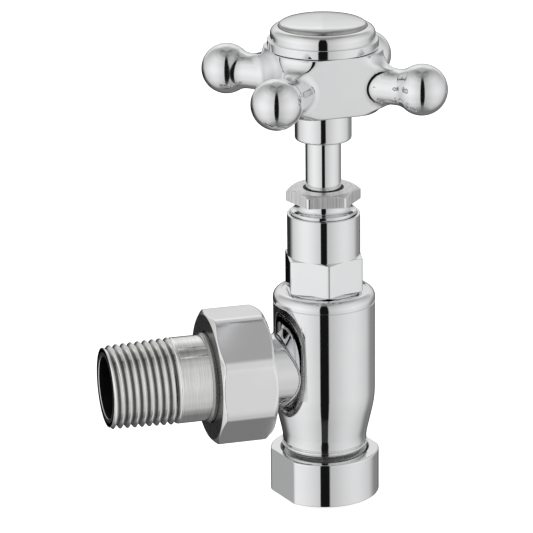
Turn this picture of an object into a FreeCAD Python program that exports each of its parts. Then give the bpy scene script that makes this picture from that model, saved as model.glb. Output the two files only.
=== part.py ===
import FreeCAD, Part
import math
import os
from FreeCAD import Vector

# Manual radiator valve, angle pattern, with a crosshead handle. Sizes are in millimetres and degrees.
# The origin is the middle of the pipe entry, on the bottom face of the compression nut.
# Z runs up the spindle, and the radiator tail points along -X.

# Pipe, pipe threads and clearances. Threads are plain cylinders at their major size.
pipe_radius = 7.5
pipe_clearance = 0.1
pipe_depth = 17.0
half_inch_thread_radius = 10.4775
three_quarter_thread_radius = 13.2205
pipe_thread_pitch = 1.814
thread_clearance = 0.05
running_clearance = 0.06
seating_gap = 0.1
thread_lead_in = 0.5
sharp_edge = 0.15
broken_edge = 0.3

# Compression nut: round, with two spanner flats
compression_nut_overhang = 0.95
compression_nut_height = 11.2
compression_nut_flat_wall = 1.67
compression_nut_flat_direction = 14.4
compression_nut_floor = 2.6
compression_nut_edge = 0.55
compression_nut_turns = 2.5

# Olive
olive_wall = 1.4
olive_end_wall = 0.4
olive_land_length = 1.2
olive_long_cone = 2.8
olive_mouth_gap = 0.4

# Neck and taper of the valve body
visible_neck_thread = 0.9
neck_relief = 0.06
neck_bead_rise = 0.14
neck_bead_height = 0.6
neck_groove_depth = 0.45
neck_groove_height = 0.4
neck_length = 1.6
taper_height = 9.4
taper_lower_curve = 9.0
taper_upper_curve = 24.0

# Barrel and lip of the valve body
barrel_radius = 12.55
barrel_height = 25.2
lip_height = 3.1
lip_rise = 0.05
lip_edge_radius = 2.1
lip_groove_depth = 0.2
lip_groove_height = 0.3

# Seat and chamber of the valve body
seat_below_branch = 9.0
seat_bore_radius = 4.5
seat_ring_width = 1.4
seat_ring_height = 1.2
chamber_floor_radius = 0.6

# Branch of the valve body
branch_above_taper = 8.2
branch_radius = 8.86
branch_bore_radius = 6.2
branch_fillet = 0.8
branch_thread_start = 16.9
branch_thread_length = 8.1

# Bonnet
bonnet_thread_radius = 8.8
bonnet_thread_length = 6.6
bonnet_gasket_thickness = 0.8
bonnet_gasket_width = 1.0
bonnet_recess_depth = 0.4
bonnet_recess_clearance = 0.33
bonnet_hex_across_flats = 18.0
bonnet_hex_height = 9.4
bonnet_hex_corner_angle = 21.1
bonnet_bevel_angle = 15
bonnet_foot_bevel = 0.65
bonnet_sleeve_radius = 8.95
bonnet_sleeve_length = 10.4
bonnet_rim_wall = 0.64
bonnet_mouth_depth = 1.5
spindle_thread_hole_length = 11.2
spindle_guide_length = 3.0

# Gland
packing_step = 0.5
packing_height = 3.6
gland_washer_thickness = 1.0
gland_thread_radius = 6.9
gland_collar_clearance = 0.26
gland_collar_height = 0.8
gland_collar_slope = 0.35
gland_neck_radius = 6.6
gland_neck_height = 2.45
gland_neck_fillet = 1.35
gland_hex_height = 3.15
gland_hex_across_flats = 16.0
gland_hex_corner_angle = 49.2
gland_bevel_angle = 28
gland_bevel_inset = 0.2
gland_countersink = 0.55

# Spindle, drawn in the open position
spindle_radius = 4.35
spindle_exposed_length = 12.2
spindle_thread_radius = 5.5
spindle_thread_length = 9.9
spindle_thread_pitch = 1.5
spindle_shank_radius = 5.0
opening_turns = 3.0
spindle_lip_thickness = 1.0
spindle_socket_headroom = 1.3
drive_across_flats = 6.5
drive_length = 13.4
drive_top_gap = 0.6
handle_screw_radius = 2.0
handle_screw_depth = 11.0
handle_screw_end_gap = 1.0

# Jumper, the valve disc that hangs in the end of the spindle without turning
closing_gap = 0.05
seat_washer_radius = 6.1
seat_washer_thickness = 3.0
jumper_cup_wall = 0.4
jumper_cup_depth = 1.0
jumper_disc_thickness = 2.4
jumper_disc_edge = 0.6
jumper_shoulder_radius = 3.4
jumper_shoulder_height = 4.45
jumper_shoulder_fillet = 0.8
jumper_neck_radius = 1.9
jumper_play = 0.3
jumper_head_radius = 2.5
jumper_head_length = 3.4
jumper_stud_radius = 1.5
jumper_nut_across_flats = 5.5
jumper_nut_height = 2.2

# Crosshead handle
boss_radius = 6.9
boss_length = 8.1
boss_edge_radius = 0.7
hub_height = 14.65
hub_top_half_width = 13.15
hub_corner_radius = 5.2
hub_draft = 0.55
hub_edge_radius = 0.6
hub_pocket_radius = 9.5
hub_pocket_depth = 4.55
arm_count = 4
arm_above_hub_bottom = 6.8
arm_direction = -41.3
arm_neck_radius = 4.35
arm_neck_flare = 5.0
arm_root_fillet = 2.9
ball_radius = 6.17
ball_centre_radius = 25.8

# Cap on the handle
cap_seam = 0.08
band_overhang = 0.25
band_height = 2.2
shoulder_step = 0.75
shoulder_height = 3.1
shoulder_edge_radius = 1.8
cap_skirt_length = 2.6
cap_skirt_wall = 1.2
disc_rim_width = 1.9
disc_clearance = 0.05
disc_edge_height = 1.2
disc_dome_height = 3.0
screw_head_radius = 3.8
screw_head_height = 2.6
screw_head_edge = 0.9
screw_slot_width = 0.9
screw_slot_depth = 1.3
spring_washer_radius = 4.6
spring_washer_thickness = 0.8
spring_washer_clearance = 0.15
spring_washer_split = 0.8

# Radiator tail
tail_length = 30.4
tail_bore_radius = 7.65
tail_thread_length = 16.4
tail_thread_runout = 0.8
tail_plain_rise = 0.12
tail_end_chamfer = 0.75
tail_shoulder_rise = 0.4
tail_shoulder_length = 0.7
tail_shoulder_slope = 0.5
tail_collar_clearance = 0.62
tail_collar_thickness = 1.8
tail_bore_cone = 2.0
tail_nose_radius = 9.7
tail_nose_length = 3.9
tail_nose_clearance = 0.25
tail_nose_end_gap = 0.4
tail_nose_bore_radius = 6.6
nose_groove_depth = 1.36
nose_groove_setback = 0.9
nose_ring_rise = 0.2
nose_ring_side_gap = 0.1

# Union nut
union_nut_sides = 8
union_nut_across_flats = 31.6
union_nut_corner_turning = 0.35
union_nut_corner_angle = 26.2
union_nut_length = 13.85
union_nut_lip = 2.95
union_nut_hole_gap = 0.3
union_nut_end_wall = 2.38
union_nut_bevel_slope = 1.0
union_nut_lip_bevel = 1.25
union_nut_lip_bevel_slope = 0.6
union_nut_turns = 4.0

# Radii that follow from the sizes above
socket_radius = pipe_radius + pipe_clearance
olive_end_radius = socket_radius + olive_end_wall
olive_radius = socket_radius + olive_wall
neck_radius = half_inch_thread_radius - neck_relief
neck_bead_radius = half_inch_thread_radius + neck_bead_rise
compression_nut_radius = barrel_radius + compression_nut_overhang
lip_radius = barrel_radius + lip_rise
chamber_radius = bonnet_thread_radius - bonnet_gasket_width
bonnet_hex_corner_radius = bonnet_hex_across_flats / 2 / math.cos(math.pi / 6)
bonnet_recess_radius = bonnet_hex_corner_radius + bonnet_recess_clearance
bonnet_mouth_radius = bonnet_sleeve_radius - bonnet_rim_wall
spindle_bore_radius = spindle_radius + running_clearance
packing_radius = gland_thread_radius - packing_step
gland_collar_radius = bonnet_mouth_radius - gland_collar_clearance
jumper_disc_radius = seat_washer_radius + jumper_cup_wall
band_radius = hub_top_half_width + band_overhang
shoulder_radius = band_radius - shoulder_step
disc_radius = shoulder_radius - disc_rim_width
cap_skirt_radius = hub_pocket_radius - thread_clearance
tail_plain_radius = half_inch_thread_radius + tail_plain_rise
tail_shoulder_radius = tail_plain_radius + tail_shoulder_rise
tail_collar_radius = three_quarter_thread_radius - tail_collar_clearance
nose_socket_radius = tail_nose_radius + tail_nose_clearance
nose_ring_section = (nose_groove_depth + nose_ring_rise) / 2

# Heights along the spindle, from the bottom face up
olive_bottom = compression_nut_floor + olive_end_wall + seating_gap * math.sqrt(2)
olive_land_bottom = olive_bottom + olive_wall - olive_end_wall
olive_land_top = olive_land_bottom + olive_land_length
olive_top = olive_land_top + olive_long_cone
body_bottom = olive_land_top + olive_mouth_gap
neck_thread_top = compression_nut_height + visible_neck_thread
neck_bead_bottom = neck_thread_top + neck_groove_height
neck_bead_top = neck_bead_bottom + neck_bead_height
neck_bottom = neck_bead_top + neck_groove_height
taper_start = neck_bottom + neck_length
taper_end = taper_start + taper_height
barrel_top = taper_end + barrel_height
body_top = barrel_top + lip_height
branch_height = taper_end + branch_above_taper
seat_height = branch_height - seat_below_branch
bonnet_seat_height = body_top - bonnet_recess_depth
bonnet_bottom = bonnet_seat_height - bonnet_thread_length
bonnet_ledge_height = bonnet_bottom - bonnet_gasket_thickness
bonnet_hex_top = bonnet_seat_height + bonnet_hex_height
bonnet_top = bonnet_hex_top + bonnet_sleeve_length
spindle_stop_height = bonnet_bottom + spindle_thread_hole_length
packing_bottom = spindle_stop_height + spindle_guide_length
packing_top = packing_bottom + packing_height
gland_nut_bottom = packing_top + gland_washer_thickness
gland_collar_bottom = bonnet_top - bonnet_mouth_depth + seating_gap
gland_collar_top = bonnet_top + gland_collar_height
gland_hex_bottom = gland_collar_top + gland_neck_height
gland_hex_top = gland_hex_bottom + gland_hex_height
boss_bottom = gland_hex_top + spindle_exposed_length
hub_bottom = boss_bottom + boss_length
hub_top = hub_bottom + hub_height
arm_height = hub_bottom + arm_above_hub_bottom
hub_pocket_floor = hub_top - hub_pocket_depth
cap_bottom = hub_top + cap_seam
band_top = cap_bottom + band_height
shoulder_top = band_top + shoulder_height
disc_bottom = shoulder_top - disc_edge_height

# Heights of the spindle and the jumper in the open position
valve_lift = opening_turns * spindle_thread_pitch
washer_bottom = seat_height + valve_lift + closing_gap
washer_top = washer_bottom + seat_washer_thickness
jumper_nut_bottom = washer_bottom - jumper_nut_height
jumper_disc_top = washer_top + jumper_disc_thickness
jumper_shoulder_top = jumper_disc_top + jumper_shoulder_height
spindle_bottom = jumper_shoulder_top + seating_gap
spindle_lip_top = spindle_bottom + spindle_lip_thickness
jumper_head_bottom = spindle_lip_top + jumper_play
jumper_head_top = jumper_head_bottom + jumper_head_length
spindle_socket_top = jumper_head_top + spindle_socket_headroom
spindle_thread_top = spindle_stop_height - seating_gap
spindle_thread_bottom = spindle_thread_top - spindle_thread_length
drive_top = hub_pocket_floor - drive_top_gap
drive_bottom = drive_top - drive_length
handle_screw_hole_bottom = drive_top - handle_screw_depth
screw_head_bottom = hub_pocket_floor + spring_washer_thickness
screw_head_top = screw_head_bottom + screw_head_height

# Distances along the tail, from the spindle's axis out
branch_end = branch_thread_start + branch_thread_length
nose_socket_floor = branch_end - tail_nose_length - tail_nose_end_gap
collar_start = branch_end + seating_gap
collar_end = collar_start + tail_collar_thickness
tail_end = collar_start + tail_length
nose_end = collar_start - tail_nose_length
nose_groove_end = collar_start - nose_groove_setback
nose_groove_start = nose_groove_end - 2 * (nose_ring_section + nose_ring_side_gap)
nut_lip_start = collar_end + seating_gap
union_nut_end = nut_lip_start + union_nut_lip
union_nut_start = union_nut_end - union_nut_length

FULL = 360
UP = Vector(0, 0, 1)
ORIGIN = Vector(0, 0, 0)


def corner_arc(before, corner, after, radius):
    """Tangent points and middle of the arc that rounds one corner of an outline."""
    to_before = (before - corner).normalize()
    to_after = (after - corner).normalize()
    half = to_before.getAngle(to_after) / 2
    reach = radius / math.tan(half)
    inward = (to_before + to_after).normalize()
    centre = corner + inward * (radius / math.sin(half))
    return corner + to_before * reach, centre - inward * radius, corner + to_after * reach


def outline(points):
    """Face in the XZ plane from (radius, height) or (radius, height, corner radius) points."""
    corners = [Vector(p[0], 0, p[1]) for p in points]
    radii = [p[2] if len(p) > 2 else 0 for p in points]
    count = len(corners)
    stops = []
    for i, corner in enumerate(corners):
        if radii[i] > 0:
            stops.append(corner_arc(corners[i - 1], corner, corners[(i + 1) % count], radii[i]))
        else:
            stops.append((corner,))
    edges = []
    for i, stop in enumerate(stops):
        if len(stop) == 3:
            edges.append(Part.Arc(*stop).toShape())
        following = stops[(i + 1) % count][0]
        if stop[-1].distanceToPoint(following) > 1e-6:
            edges.append(Part.makeLine(stop[-1], following))
    return Part.Face(Part.Wire(edges))


def turned(points):
    """Solid of revolution about the spindle axis."""
    return outline(points).revolve(ORIGIN, UP, FULL)


def cylinder(radius, bottom, top):
    return Part.makeCylinder(radius, top - bottom, Vector(0, 0, bottom), UP)


def ring(inner, outer, bottom, top):
    return cylinder(outer, bottom, top).cut(cylinder(inner, bottom, top))


def polygon(sides, across_flats, height, corner_angle):
    """Closed line with that many flats. One corner stands at corner_angle from +X."""
    corner_radius = across_flats / 2 / math.cos(math.pi / sides)
    step = 2 * math.pi / sides
    start = math.radians(corner_angle)
    corners = []
    for i in range(sides + 1):
        angle = start + i * step
        corners.append(Vector(corner_radius * math.cos(angle), corner_radius * math.sin(angle), height))
    return Part.makePolygon(corners)


def prism(sides, across_flats, bottom, top, corner_angle):
    return Part.Face(polygon(sides, across_flats, bottom, corner_angle)).extrude(UP * (top - bottom))


def on_tail_axis(shape):
    """Lays a shape that was drawn along Z down along the tail. Its own X then points up."""
    placed = shape.copy()
    placed.rotate(ORIGIN, Vector(0, 1, 0), -90)
    placed.translate(UP * branch_height)
    return placed


def stations(edge, count=5):
    """Points spread along an edge, clear of its ends."""
    first, last = edge.ParameterRange
    return [edge.valueAt(first + (last - first) * (i + 0.5) / count) for i in range(count)]


def lies_on(spot, solid, tolerance=0.02):
    return solid.Shells[0].distToShape(Part.Vertex(spot))[0] < tolerance


def shared_edges(joined, first, second):
    """Edges of a joined solid that lie on the skins of both solids it was joined from."""
    found = []
    for edge in joined.Edges:
        if all(lies_on(spot, first) and lies_on(spot, second) for spot in stations(edge)):
            found.append(edge)
    return found


def edges_at_height(shape, height):
    """Edges that lie in the horizontal plane at a height."""
    found = []
    for edge in shape.Edges:
        box = edge.BoundBox
        if abs(box.ZMin - height) < 1e-3 and abs(box.ZMax - height) < 1e-3:
            found.append(edge)
    return found


# Compression end


def make_compression_nut():
    edge = compression_nut_edge
    blank = turned([(0, 0), (compression_nut_radius, 0, edge / 2),
                    (compression_nut_radius, compression_nut_height, edge), (0, compression_nut_height)])
    bore = half_inch_thread_radius + thread_clearance
    width = 2 * (bore + compression_nut_flat_wall)
    depth = 4 * compression_nut_radius
    flats = Part.makeBox(width, depth, compression_nut_height, Vector(-width / 2, -depth / 2, 0))
    flats.rotate(ORIGIN, UP, compression_nut_flat_direction)
    cone_top = compression_nut_floor + bore - socket_radius
    mouth = compression_nut_height - thread_lead_in
    hollow = turned([(0, 0), (socket_radius, 0), (socket_radius, compression_nut_floor), (bore, cone_top),
                     (bore, mouth), (bore + thread_lead_in, compression_nut_height),
                     (0, compression_nut_height)])
    return blank.common(flats).cut(hollow)


def make_olive():
    """Ring with a short cone for the nut's cone and a long one for the mouth of the body."""
    return turned([(socket_radius, olive_bottom), (olive_end_radius, olive_bottom),
                   (olive_radius, olive_land_bottom, sharp_edge),
                   (olive_radius, olive_land_top, broken_edge), (olive_end_radius, olive_top),
                   (socket_radius, olive_top)])


# Valve body


def body_outside():
    """Neck with its thread, bead and grooves, the waisted taper, the barrel and the rounded lip."""
    thread = half_inch_thread_radius
    groove_radius = neck_radius - neck_groove_depth
    lip_bottom = barrel_top + lip_groove_height
    groove_middle = barrel_top + lip_groove_height / 2
    return turned([
        (0, body_bottom), (thread - thread_lead_in, body_bottom), (thread, body_bottom + thread_lead_in),
        (thread, neck_thread_top), (groove_radius, neck_thread_top), (groove_radius, neck_bead_bottom),
        (neck_bead_radius, neck_bead_bottom, sharp_edge), (neck_bead_radius, neck_bead_top, sharp_edge),
        (groove_radius, neck_bead_top), (groove_radius, neck_bottom), (neck_radius, neck_bottom, sharp_edge),
        (neck_radius, taper_start, taper_lower_curve), (barrel_radius, taper_end, taper_upper_curve),
        (barrel_radius, barrel_top), (barrel_radius - lip_groove_depth, groove_middle),
        (lip_radius, lip_bottom, sharp_edge), (lip_radius, body_top, lip_edge_radius), (0, body_top)])


def body_hollow():
    """Olive mouth, pipe socket, seat bore, chamber with its raised seat, and the bonnet's thread."""
    slope = (olive_radius - olive_end_radius) / olive_long_cone
    mouth_radius = olive_radius - olive_mouth_gap * slope + seating_gap
    mouth_top = body_bottom + (mouth_radius - socket_radius) / slope
    floor = seat_height - seat_ring_height
    seat_ring_radius = seat_bore_radius + seat_ring_width
    thread_hole = bonnet_thread_radius + thread_clearance
    return turned([
        (0, body_bottom), (mouth_radius, body_bottom), (socket_radius, mouth_top),
        (socket_radius, pipe_depth), (seat_bore_radius, pipe_depth, broken_edge),
        (seat_bore_radius, seat_height, sharp_edge), (seat_ring_radius, seat_height, sharp_edge),
        (seat_ring_radius, floor, broken_edge), (chamber_radius, floor, chamber_floor_radius),
        (chamber_radius, bonnet_ledge_height), (thread_hole, bonnet_ledge_height),
        (thread_hole, bonnet_seat_height), (bonnet_recess_radius, bonnet_seat_height),
        (bonnet_recess_radius, body_top), (0, body_top)])


def make_valve_body():
    """Body with its side branch, a fillet round the saddle, and the waterways cut through."""
    barrel = body_outside()
    branch = on_tail_axis(cylinder(branch_radius, 0, branch_end))
    body = barrel.fuse(branch).removeSplitter()
    body = body.makeFillet(branch_fillet, shared_edges(body, barrel, branch))
    outer = three_quarter_thread_radius
    inner = outer - thread_lead_in
    thread = turned([(0, branch_thread_start), (inner, branch_thread_start),
                     (outer, branch_thread_start + thread_lead_in), (outer, branch_end - thread_lead_in),
                     (inner, branch_end), (0, branch_end)])
    waterway = turned([(0, 0), (branch_bore_radius, 0), (branch_bore_radius, nose_socket_floor),
                       (nose_socket_radius, nose_socket_floor, broken_edge),
                       (nose_socket_radius, branch_end), (0, branch_end)])
    body = body.fuse(on_tail_axis(thread)).cut(body_hollow()).cut(on_tail_axis(waterway))
    return body.removeSplitter()


# Bonnet and gland


def make_bonnet():
    """Hexagon with turned corners, screwed plug below it and plain sleeve above it, bored for the spindle."""
    hexagon = prism(6, bonnet_hex_across_flats, bonnet_seat_height, bonnet_hex_top,
                    bonnet_hex_corner_angle)
    corner = bonnet_hex_corner_radius
    shoulder = bonnet_sleeve_radius - seating_gap
    rise = (corner - shoulder) * math.tan(math.radians(bonnet_bevel_angle))
    bevel = turned([(0, bonnet_seat_height), (shoulder, bonnet_seat_height),
                    (corner, bonnet_seat_height + bonnet_foot_bevel), (corner, bonnet_hex_top - rise),
                    (shoulder, bonnet_hex_top), (0, bonnet_hex_top)])
    plug = cylinder(bonnet_thread_radius, bonnet_bottom, bonnet_seat_height)
    sleeve = turned([(0, bonnet_hex_top - rise), (bonnet_sleeve_radius, bonnet_hex_top - rise),
                     (bonnet_sleeve_radius, bonnet_top, broken_edge), (0, bonnet_top)])
    spindle_thread = spindle_thread_radius + thread_clearance
    gland_thread = gland_thread_radius + thread_clearance
    mouth_bottom = bonnet_top - bonnet_mouth_depth
    hollow = turned([
        (0, bonnet_bottom), (spindle_thread + thread_lead_in, bonnet_bottom),
        (spindle_thread, bonnet_bottom + thread_lead_in), (spindle_thread, spindle_stop_height),
        (spindle_bore_radius, spindle_stop_height), (spindle_bore_radius, packing_bottom),
        (packing_radius, packing_bottom), (packing_radius, packing_top), (gland_thread, packing_top),
        (gland_thread, mouth_bottom), (bonnet_mouth_radius, mouth_bottom), (bonnet_mouth_radius, bonnet_top),
        (0, bonnet_top)])
    return hexagon.common(bevel).fuse([plug, sleeve]).cut(hollow).removeSplitter()


def make_bonnet_gasket():
    return ring(chamber_radius, bonnet_thread_radius, bonnet_ledge_height, bonnet_bottom)


def make_gland_nut():
    """Thin hexagon on a necked collar, with a threaded nose that presses on the packing."""
    nose = gland_thread_radius
    collar = gland_collar_radius
    neck = gland_neck_radius
    flare = min(gland_neck_fillet, collar - neck)
    lower = turned([
        (0, gland_nut_bottom), (nose - thread_lead_in, gland_nut_bottom),
        (nose, gland_nut_bottom + thread_lead_in), (nose, gland_collar_bottom),
        (collar, gland_collar_bottom), (collar, gland_collar_top, sharp_edge),
        (neck, gland_collar_top + gland_collar_slope, flare), (neck, gland_hex_bottom),
        (0, gland_hex_bottom)])
    hexagon = prism(6, gland_hex_across_flats, gland_hex_bottom, gland_hex_top, gland_hex_corner_angle)
    corner = gland_hex_across_flats / 2 / math.cos(math.pi / 6)
    top_radius = gland_hex_across_flats / 2 - gland_bevel_inset
    bevel_bottom = gland_hex_top - (corner - top_radius) * math.tan(math.radians(gland_bevel_angle))
    bevel = turned([(0, gland_hex_bottom), (corner, gland_hex_bottom), (corner, bevel_bottom),
                    (top_radius, gland_hex_top), (0, gland_hex_top)])
    bore = spindle_bore_radius
    sink = gland_countersink
    hollow = turned([(0, gland_nut_bottom), (bore, gland_nut_bottom), (bore, gland_hex_top - sink),
                     (bore + sink, gland_hex_top), (0, gland_hex_top)])
    return hexagon.common(bevel).fuse(lower).cut(hollow).removeSplitter()


def make_gland_packing():
    return ring(spindle_bore_radius, packing_radius, packing_bottom, packing_top)


def make_gland_washer():
    return ring(spindle_bore_radius, packing_radius, packing_top, gland_nut_bottom)


# Spindle and jumper


def make_spindle():
    """Stem with its screw thread, square drive for the handle, screw hole, and socket for the jumper."""
    chamfer = thread_lead_in
    body = turned([
        (0, spindle_bottom), (spindle_shank_radius - chamfer, spindle_bottom),
        (spindle_shank_radius, spindle_bottom + chamfer), (spindle_shank_radius, spindle_thread_bottom),
        (spindle_thread_radius, spindle_thread_bottom), (spindle_thread_radius, spindle_thread_top),
        (spindle_radius, spindle_thread_top), (spindle_radius, drive_bottom), (0, drive_bottom)])
    drive = turned([(0, drive_bottom), (spindle_radius, drive_bottom),
                    (spindle_radius, drive_top, broken_edge), (0, drive_top)])
    square = prism(4, drive_across_flats, drive_bottom, drive_top, FULL / 8)
    neck_hole = jumper_neck_radius + running_clearance
    head_hole = jumper_head_radius + running_clearance
    socket = turned([(0, spindle_bottom), (neck_hole, spindle_bottom), (neck_hole, spindle_lip_top),
                     (head_hole, spindle_lip_top), (head_hole, spindle_socket_top),
                     (0, spindle_socket_top + head_hole)])
    screw_hole = cylinder(handle_screw_radius, handle_screw_hole_bottom, drive_top)
    return body.fuse(drive.common(square)).cut([socket, screw_hole]).removeSplitter()


def make_jumper():
    """Disc with a cup for the washer below it, and a headed stem that the spindle's lip holds."""
    cup_bottom = washer_top - jumper_cup_depth
    return turned([
        (0, jumper_nut_bottom), (jumper_stud_radius, jumper_nut_bottom), (jumper_stud_radius, washer_top),
        (seat_washer_radius, washer_top), (seat_washer_radius, cup_bottom), (jumper_disc_radius, cup_bottom),
        (jumper_disc_radius, jumper_disc_top, jumper_disc_edge),
        (jumper_shoulder_radius, jumper_disc_top, jumper_shoulder_fillet),
        (jumper_shoulder_radius, jumper_shoulder_top), (jumper_neck_radius, jumper_shoulder_top),
        (jumper_neck_radius, jumper_head_bottom), (jumper_head_radius, jumper_head_bottom),
        (jumper_head_radius, jumper_head_top, broken_edge), (0, jumper_head_top)])


def make_seat_washer():
    return turned([(jumper_stud_radius, washer_bottom), (seat_washer_radius, washer_bottom, broken_edge),
                   (seat_washer_radius, washer_top), (jumper_stud_radius, washer_top)])


def make_jumper_nut():
    nut = prism(6, jumper_nut_across_flats, jumper_nut_bottom, washer_bottom, 0)
    return nut.cut(cylinder(jumper_stud_radius, jumper_nut_bottom, washer_bottom))


# Crosshead handle


def make_arm():
    """One arm along +X from the hub's axis: straight neck, flare that is tangent to both, and ball."""
    flare_x, flare_y = arm_flare_centre()
    ball_centre = Vector(ball_centre_radius, 0, 0)
    flare_centre = Vector(flare_x, 0, flare_y)
    to_flare = (flare_centre - ball_centre).normalize()
    touch = ball_centre + to_flare * ball_radius
    neck_end = Vector(flare_x, 0, arm_neck_radius)
    flare_middle = flare_centre - (to_flare + UP).normalize() * arm_neck_flare
    tip = ball_centre + Vector(ball_radius, 0, 0)
    ball_middle = ball_centre + (touch + tip - ball_centre * 2).normalize() * ball_radius
    edges = [Part.makeLine(ORIGIN, UP * arm_neck_radius), Part.makeLine(UP * arm_neck_radius, neck_end),
             Part.Arc(neck_end, flare_middle, touch).toShape(), Part.Arc(touch, ball_middle, tip).toShape(),
             Part.makeLine(tip, ORIGIN)]
    return Part.Face(Part.Wire(edges)).revolve(ORIGIN, Vector(1, 0, 0), FULL)


def arm_flare_centre():
    """Centre of the flare's arc, which touches the neck's side and the ball from outside."""
    height = arm_neck_radius + arm_neck_flare
    back = math.sqrt((ball_radius + arm_neck_flare) ** 2 - height ** 2)
    return ball_centre_radius - back, height


def make_tall_hub(low, high):
    """Block with a flat side between each two arms, drafted, with round corners that point along the arms."""
    rims = []
    for height in (low, high):
        half_width = hub_top_half_width + (height - hub_top) * hub_draft / hub_height
        rims.append(polygon(arm_count, 2 * half_width, height, arm_direction))
    block = Part.makeLoft(rims, True, True)
    upright = [edge for edge in block.Edges if edge.BoundBox.ZLength > (high - low) / 2]
    return block.makeFillet(hub_corner_radius, upright)


def make_handle():
    """Hub, boss and four ball arms as one casting, blended where the arms leave the hub."""
    stretch = 1 / math.cos(math.pi / arm_count)
    corner = hub_top_half_width * stretch - hub_corner_radius * (stretch - 1)
    room = arm_flare_centre()[0] - corner
    blend = min(arm_root_fillet, 0.9 * room)
    spare = arm_neck_radius + 2 * blend
    low, high = hub_bottom - spare, hub_top + spare
    tall_hub = make_tall_hub(low, high)
    arms = []
    for i in range(arm_count):
        arm = make_arm()
        arm.rotate(ORIGIN, UP, arm_direction + i * FULL / arm_count)
        arm.translate(UP * arm_height)
        arms.append(arm)
    handle = tall_hub.fuse(arms).removeSplitter()
    roots = []
    for arm in arms:
        roots += shared_edges(handle, tall_hub, arm)
    handle = handle.makeFillet(blend, roots)
    # The blends run out through the two faces of the hub, which are turned to height after them.
    facing = corner + 2 * blend
    handle = handle.cut([cylinder(facing, low, hub_bottom), cylinder(facing, hub_top, high)])
    handle = handle.makeFillet(hub_edge_radius, edges_at_height(handle, hub_bottom))
    boss = turned([(0, boss_bottom), (boss_radius, boss_bottom, boss_edge_radius), (boss_radius, hub_bottom),
                   (0, hub_bottom)])
    pocket = cylinder(hub_pocket_radius, hub_pocket_floor, hub_top)
    square_width = drive_across_flats + 2 * running_clearance
    square = prism(4, square_width, drive_bottom, hub_pocket_floor, FULL / 8)
    entry = cylinder(spindle_bore_radius, boss_bottom, drive_bottom)
    return handle.fuse(boss).cut([pocket, square, entry]).removeSplitter()


def make_handle_cap():
    """Band, shoulder and threaded skirt in one turned piece, with a recess for the domed disc."""
    inside = cap_skirt_radius - cap_skirt_wall
    recess = disc_radius + disc_clearance
    return turned([
        (inside, cap_bottom - cap_skirt_length), (cap_skirt_radius, cap_bottom - cap_skirt_length),
        (cap_skirt_radius, cap_bottom), (band_radius, cap_bottom, sharp_edge),
        (band_radius, band_top, broken_edge), (shoulder_radius, band_top),
        (shoulder_radius, shoulder_top, shoulder_edge_radius), (recess, shoulder_top),
        (recess, disc_bottom), (inside, disc_bottom)])


def make_cap_disc():
    """Disc with a shallow dome, cut from a sphere."""
    rise = disc_dome_height
    dome_radius = (disc_radius ** 2 + rise ** 2) / (2 * rise)
    blank = cylinder(disc_radius, disc_bottom, shoulder_top + rise)
    return blank.common(Part.makeSphere(dome_radius, Vector(0, 0, shoulder_top + rise - dome_radius)))


def make_handle_screw():
    shank_bottom = handle_screw_hole_bottom + handle_screw_end_gap
    tip_radius = handle_screw_radius - broken_edge
    screw = turned([
        (0, shank_bottom), (tip_radius, shank_bottom), (handle_screw_radius, shank_bottom + broken_edge),
        (handle_screw_radius, screw_head_bottom), (screw_head_radius, screw_head_bottom),
        (screw_head_radius, screw_head_top, screw_head_edge), (0, screw_head_top)])
    slot_bottom = screw_head_top - screw_slot_depth
    slot = Part.makeBox(screw_slot_width, 2 * screw_head_radius, screw_slot_depth,
                        Vector(-screw_slot_width / 2, -screw_head_radius, slot_bottom))
    return screw.cut(slot)


def make_spring_washer():
    washer = ring(handle_screw_radius + spring_washer_clearance, spring_washer_radius, hub_pocket_floor,
                  screw_head_bottom)
    split = Part.makeBox(spring_washer_radius, spring_washer_split, spring_washer_thickness,
                         Vector(0, -spring_washer_split / 2, hub_pocket_floor))
    return washer.cut(split)


# Radiator tail and union nut


def make_radiator_tail():
    """Threaded end, plain length, shoulder, collar and grooved nose, with the waterway right through."""
    thread = half_inch_thread_radius
    thread_start = tail_end - tail_thread_length
    groove = tail_nose_radius - nose_groove_depth
    shoulder_end = union_nut_end + tail_shoulder_length
    return on_tail_axis(turned([
        (tail_nose_bore_radius, nose_end), (tail_nose_radius - broken_edge, nose_end),
        (tail_nose_radius, nose_end + broken_edge), (tail_nose_radius, nose_groove_start),
        (groove, nose_groove_start), (groove, nose_groove_end), (tail_nose_radius, nose_groove_end),
        (tail_nose_radius, collar_start), (tail_collar_radius, collar_start, broken_edge),
        (tail_collar_radius, collar_end, broken_edge), (tail_shoulder_radius, collar_end),
        (tail_shoulder_radius, shoulder_end, sharp_edge),
        (tail_plain_radius, shoulder_end + tail_shoulder_slope),
        (tail_plain_radius, thread_start - tail_thread_runout), (thread, thread_start),
        (thread, tail_end - tail_end_chamfer), (thread - tail_end_chamfer, tail_end),
        (tail_bore_radius, tail_end), (tail_bore_radius, collar_end + tail_bore_cone),
        (tail_nose_bore_radius, collar_end)]))


def make_nose_ring():
    middle = (nose_groove_start + nose_groove_end) / 2
    centre_radius = tail_nose_radius - nose_groove_depth + nose_ring_section
    return on_tail_axis(Part.makeTorus(centre_radius, nose_ring_section, Vector(0, 0, middle), UP))


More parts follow.
